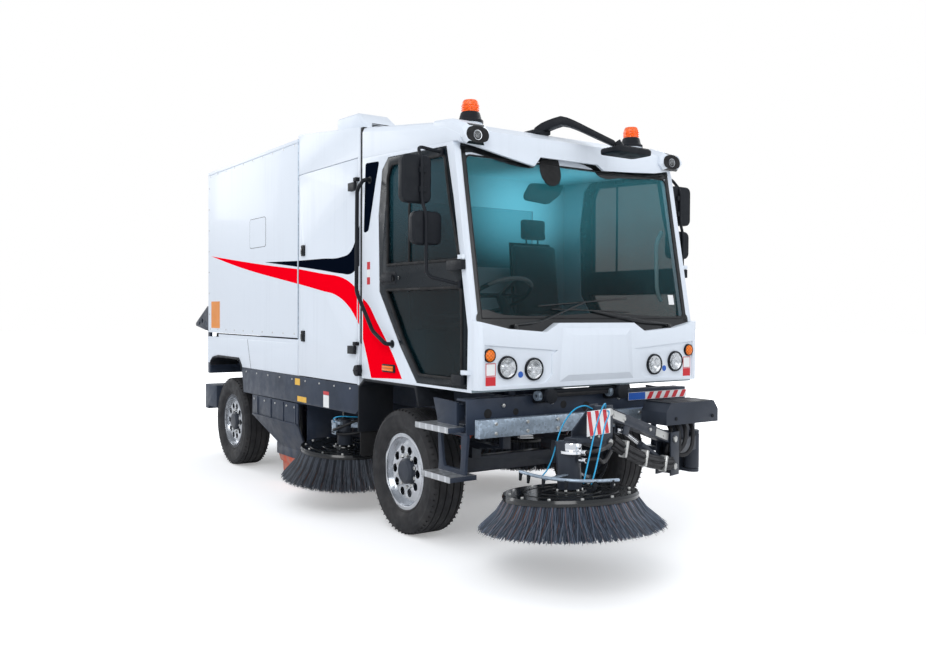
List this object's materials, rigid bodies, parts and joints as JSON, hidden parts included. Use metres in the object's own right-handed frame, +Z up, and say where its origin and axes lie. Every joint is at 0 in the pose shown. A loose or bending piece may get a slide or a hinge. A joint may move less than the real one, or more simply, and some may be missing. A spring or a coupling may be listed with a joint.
{
  "type": "street sweeper truck",
  "caption": "Street sweeper truck with a tipping dirt hopper, roller broom, two side brushes and a front brush on a slewing boom.",
  "frame": {"origin": "on the ground, under the middle of the machine's overall box", "axes": "+X forward, +Y to the vehicle's left, +Z up"},
  "size_m": [6.4383, 2.7, 3.0897],
  "materials": {
    "white_paint": "gloss white body paint",
    "dark_paint": "satin anthracite paint",
    "arm_paint": "satin dark grey paint",
    "galvanised": "galvanised steel",
    "black_plastic": "textured black plastic",
    "wheel_steel": "polished wheel steel",
    "tyre_rubber": "tyre rubber",
    "curtain_rubber": "red rubber curtain",
    "tinted_glass": "tinted cab glass",
    "lamp_lens": "clear and amber lamp lenses",
    "seat_fabric": "dark woven seat cloth",
    "bristle": "grey blue poly bristle",
    "cylinder_steel": "chromed rod steel"
  },
  "bodies": {
    "chassis": {"chassis_frame": "dark_paint", "front_rail": "galvanised", "axles": "dark_paint", "cab_shell": "white_paint", "cab_glass": "tinted_glass", "cab_roof": "white_paint", "front_apron": "white_paint", "lamps": "lamp_lens", "dashboard": "black_plastic", "driver_seat": "seat_fabric", "passenger_seat": "seat_fabric", "engine_bay": "white_paint", "engine_block": "dark_paint", "roof_intake": "black_plastic", "lower_body": "white_paint", "wheel_arches": "black_plastic", "rear_bumper": "dark_paint", "side_skirts": "dark_paint", "cab_steps": "dark_paint", "sweep_housing": "dark_paint", "sweep_skirt": "curtain_rubber", "cab_rails": "black_plastic", "wipers": "black_plastic"},
    "knuckle_right": {"knuckle_right": "dark_paint"},
    "knuckle_left": {"knuckle_left": "dark_paint"},
    "door_right": {"door_right": "black_plastic", "door_glass_right": "tinted_glass", "mirror_right": "black_plastic"},
    "door_left": {"door_left": "black_plastic", "door_glass_left": "tinted_glass", "mirror_left": "black_plastic"},
    "bay_door_right": {"bay_door_right": "white_paint"},
    "bay_door_left": {"bay_door_left": "white_paint"},
    "hopper": {"hopper": "white_paint", "tip_brackets": "arm_paint"},
    "hopper_door": {"hopper_door": "white_paint"},
    "lift_barrels": {"lift_barrels": "arm_paint"},
    "lift_rods": {"lift_rods": "cylinder_steel"},
    "roller": {"roller_broom": "bristle"},
    "side_arm_right": {"side_arm_right": "galvanised"},
    "side_arm_left": {"side_arm_left": "galvanised"},
    "side_brush_right": {"side_brush_right": "bristle"},
    "side_brush_left": {"side_brush_left": "bristle"},
    "carriage": {"carriage": "arm_paint"},
    "turret": {"turret": "arm_paint"},
    "boom": {"boom": "arm_paint"},
    "boom_link": {"boom_link": "arm_paint"},
    "boom_barrel": {"boom_barrel": "arm_paint"},
    "boom_rod": {"boom_rod": "cylinder_steel"},
    "brush_head": {"brush_head": "arm_paint"},
    "front_brush": {"front_brush": "bristle"},
    "wheel_front_right": {"rim_front_right": "wheel_steel", "tyre_front_right": "tyre_rubber"},
    "wheel_front_left": {"rim_front_left": "wheel_steel", "tyre_front_left": "tyre_rubber"},
    "wheel_rear_right": {"rim_rear_right": "wheel_steel", "tyre_rear_right": "tyre_rubber"},
    "wheel_rear_left": {"rim_rear_left": "wheel_steel", "tyre_rear_left": "tyre_rubber"}
  },
  "joints": [
    {"name": "steer_right", "type": "hinge", "parent": "chassis", "child": "knuckle_right", "pos_m": [1.2231, -0.68, 0.4335], "axis": [0, 0, 1], "range_deg": [-35, 35]},
    {"name": "steer_left", "type": "hinge", "parent": "chassis", "child": "knuckle_left", "pos_m": [1.2231, 0.68, 0.4335], "axis": [0, 0, 1], "range_deg": [-35, 35]},
    {"name": "spin_front_right", "type": "hinge", "parent": "knuckle_right", "child": "wheel_front_right", "pos_m": [1.2231, -0.8425, 0.4335], "axis": [0, 1, 0], "continuous": true},
    {"name": "spin_rear_right", "type": "hinge", "parent": "chassis", "child": "wheel_rear_right", "pos_m": [-2.1219, -0.8425, 0.4335], "axis": [0, 1, 0], "continuous": true},
    {"name": "door_right_swing", "type": "hinge", "parent": "chassis", "child": "door_right", "pos_m": [2.0131, -0.998, 1.5], "axis": [0, 0, 1], "range_deg": [0, 70]},
    {"name": "bay_door_right_swing", "type": "hinge", "parent": "chassis", "child": "bay_door_right", "pos_m": [0.5831, -0.998, 1.8], "axis": [0, 0, 1], "range_deg": [0, 95]},
    {"name": "arm_right_swing", "type": "hinge", "parent": "chassis", "child": "side_arm_right", "pos_m": [0.5231, -0.62, 0.64], "axis": [0, 0, -1], "range_deg": [-20, 25]},
    {"name": "brush_right_spin", "type": "hinge", "parent": "side_arm_right", "child": "side_brush_right", "pos_m": [0.1211, -0.85, 0.207], "axis": [0.0802, 0, 0.9968], "continuous": true},
    {"name": "spin_front_left", "type": "hinge", "parent": "knuckle_left", "child": "wheel_front_left", "pos_m": [1.2231, 0.8425, 0.4335], "axis": [0, 1, 0], "continuous": true},
    {"name": "spin_rear_left", "type": "hinge", "parent": "chassis", "child": "wheel_rear_left", "pos_m": [-2.1219, 0.8425, 0.4335], "axis": [0, 1, 0], "continuous": true},
    {"name": "door_left_swing", "type": "hinge", "parent": "chassis", "child": "door_left", "pos_m": [2.0131, 0.998, 1.5], "axis": [0, 0, -1], "range_deg": [0, 70]},
    {"name": "bay_door_left_swing", "type": "hinge", "parent": "chassis", "child": "bay_door_left", "pos_m": [0.5831, 0.998, 1.8], "axis": [0, 0, -1], "range_deg": [0, 95]},
    {"name": "arm_left_swing", "type": "hinge", "parent": "chassis", "child": "side_arm_left", "pos_m": [0.5231, 0.62, 0.64], "axis": [0, 0, 1], "range_deg": [-20, 25]},
    {"name": "brush_left_spin", "type": "hinge", "parent": "side_arm_left", "child": "side_brush_left", "pos_m": [0.1211, 0.85, 0.207], "axis": [0.0802, 0, 0.9968], "continuous": true},
    {"name": "hopper_tip", "type": "hinge", "parent": "chassis", "child": "hopper", "pos_m": [-2.8769, 0, 1.4], "axis": [0, -1, 0], "range_deg": [0, 50]},
    {"name": "hopper_door_swing", "type": "hinge", "parent": "hopper", "child": "hopper_door", "pos_m": [-2.8289, 0, 2.968], "axis": [0, 1, 0], "range_deg": [0, 75]},
    {"name": "lift_barrel_swing", "type": "hinge", "parent": "chassis", "child": "lift_barrels", "pos_m": [-2.4769, 0, 1.12], "axis": [0, -1, 0], "range_deg": [0, 55.61]},
    {"name": "lift_rod_slide", "type": "slide", "parent": "lift_barrels", "child": "lift_rods", "axis": [0.9967, 0, 0.081], "range_m": [0, 0.3858]},
    {"name": "roller_spin", "type": "hinge", "parent": "chassis", "child": "roller", "pos_m": [-0.9369, 0, 0.345], "axis": [0, 1, 0], "continuous": true},
    {"name": "carriage_slide", "type": "slide", "parent": "chassis", "child": "carriage", "axis": [0, 1, 0], "range_m": [-1.2, 0.05]},
    {"name": "turret_slew", "type": "hinge", "parent": "carriage", "child": "turret", "pos_m": [2.2781, 0.78, 0.58], "axis": [0, 0, 1], "range_deg": [0, 90]},
    {"name": "boom_lift", "type": "hinge", "parent": "turret", "child": "boom", "pos_m": [2.4231, 0.365, 0.71], "axis": [-0.9732, -0.23, 0], "range_deg": [-17.5, 12]},
    {"name": "link_swing", "type": "hinge", "parent": "turret", "child": "boom_link", "pos_m": [2.4231, 0.365, 0.53], "axis": [-0.9732, -0.23, 0], "range_deg": [-18, 12.5]},
    {"name": "head_level", "type": "hinge", "parent": "boom", "child": "brush_head", "pos_m": [2.60254, -0.39408, 0.95], "axis": [-0.9732, -0.23, 0], "range_deg": [-12.5, 18]},
    {"name": "ram_swing", "type": "hinge", "parent": "turret", "child": "boom_barrel", "pos_m": [2.4231, 0.365, 0.53], "axis": [-0.9732, -0.23, 0], "range_deg": [-15.89, 11.05]},
    {"name": "ram_slide", "type": "slide", "parent": "boom_barrel", "child": "boom_rod", "axis": [0.2045, -0.8649, 0.4583], "range_m": [-0.0525, 0.0369]},
    {"name": "front_brush_spin", "type": "hinge", "parent": "brush_head", "child": "front_brush", "pos_m": [2.67109, -0.68409, 0.305], "axis": [-0.0837, 0, 0.9965], "continuous": true}
  ],
  "couplings": [
    {"joint": "steer_left", "follows": "steer_right", "ratio": 1},
    {"joint": "lift_barrel_swing", "follows": "hopper_tip", "ratio": 1.1021},
    {"joint": "lift_rod_slide", "follows": "hopper_tip", "m_per_rad": 0.43637},
    {"joint": "link_swing", "follows": "boom_lift", "ratio": 1},
    {"joint": "head_level", "follows": "boom_lift", "ratio": -1},
    {"joint": "ram_swing", "follows": "boom_lift", "ratio": 0.87951},
    {"joint": "ram_slide", "follows": "boom_lift", "m_per_rad": 0.16207}
  ]
}
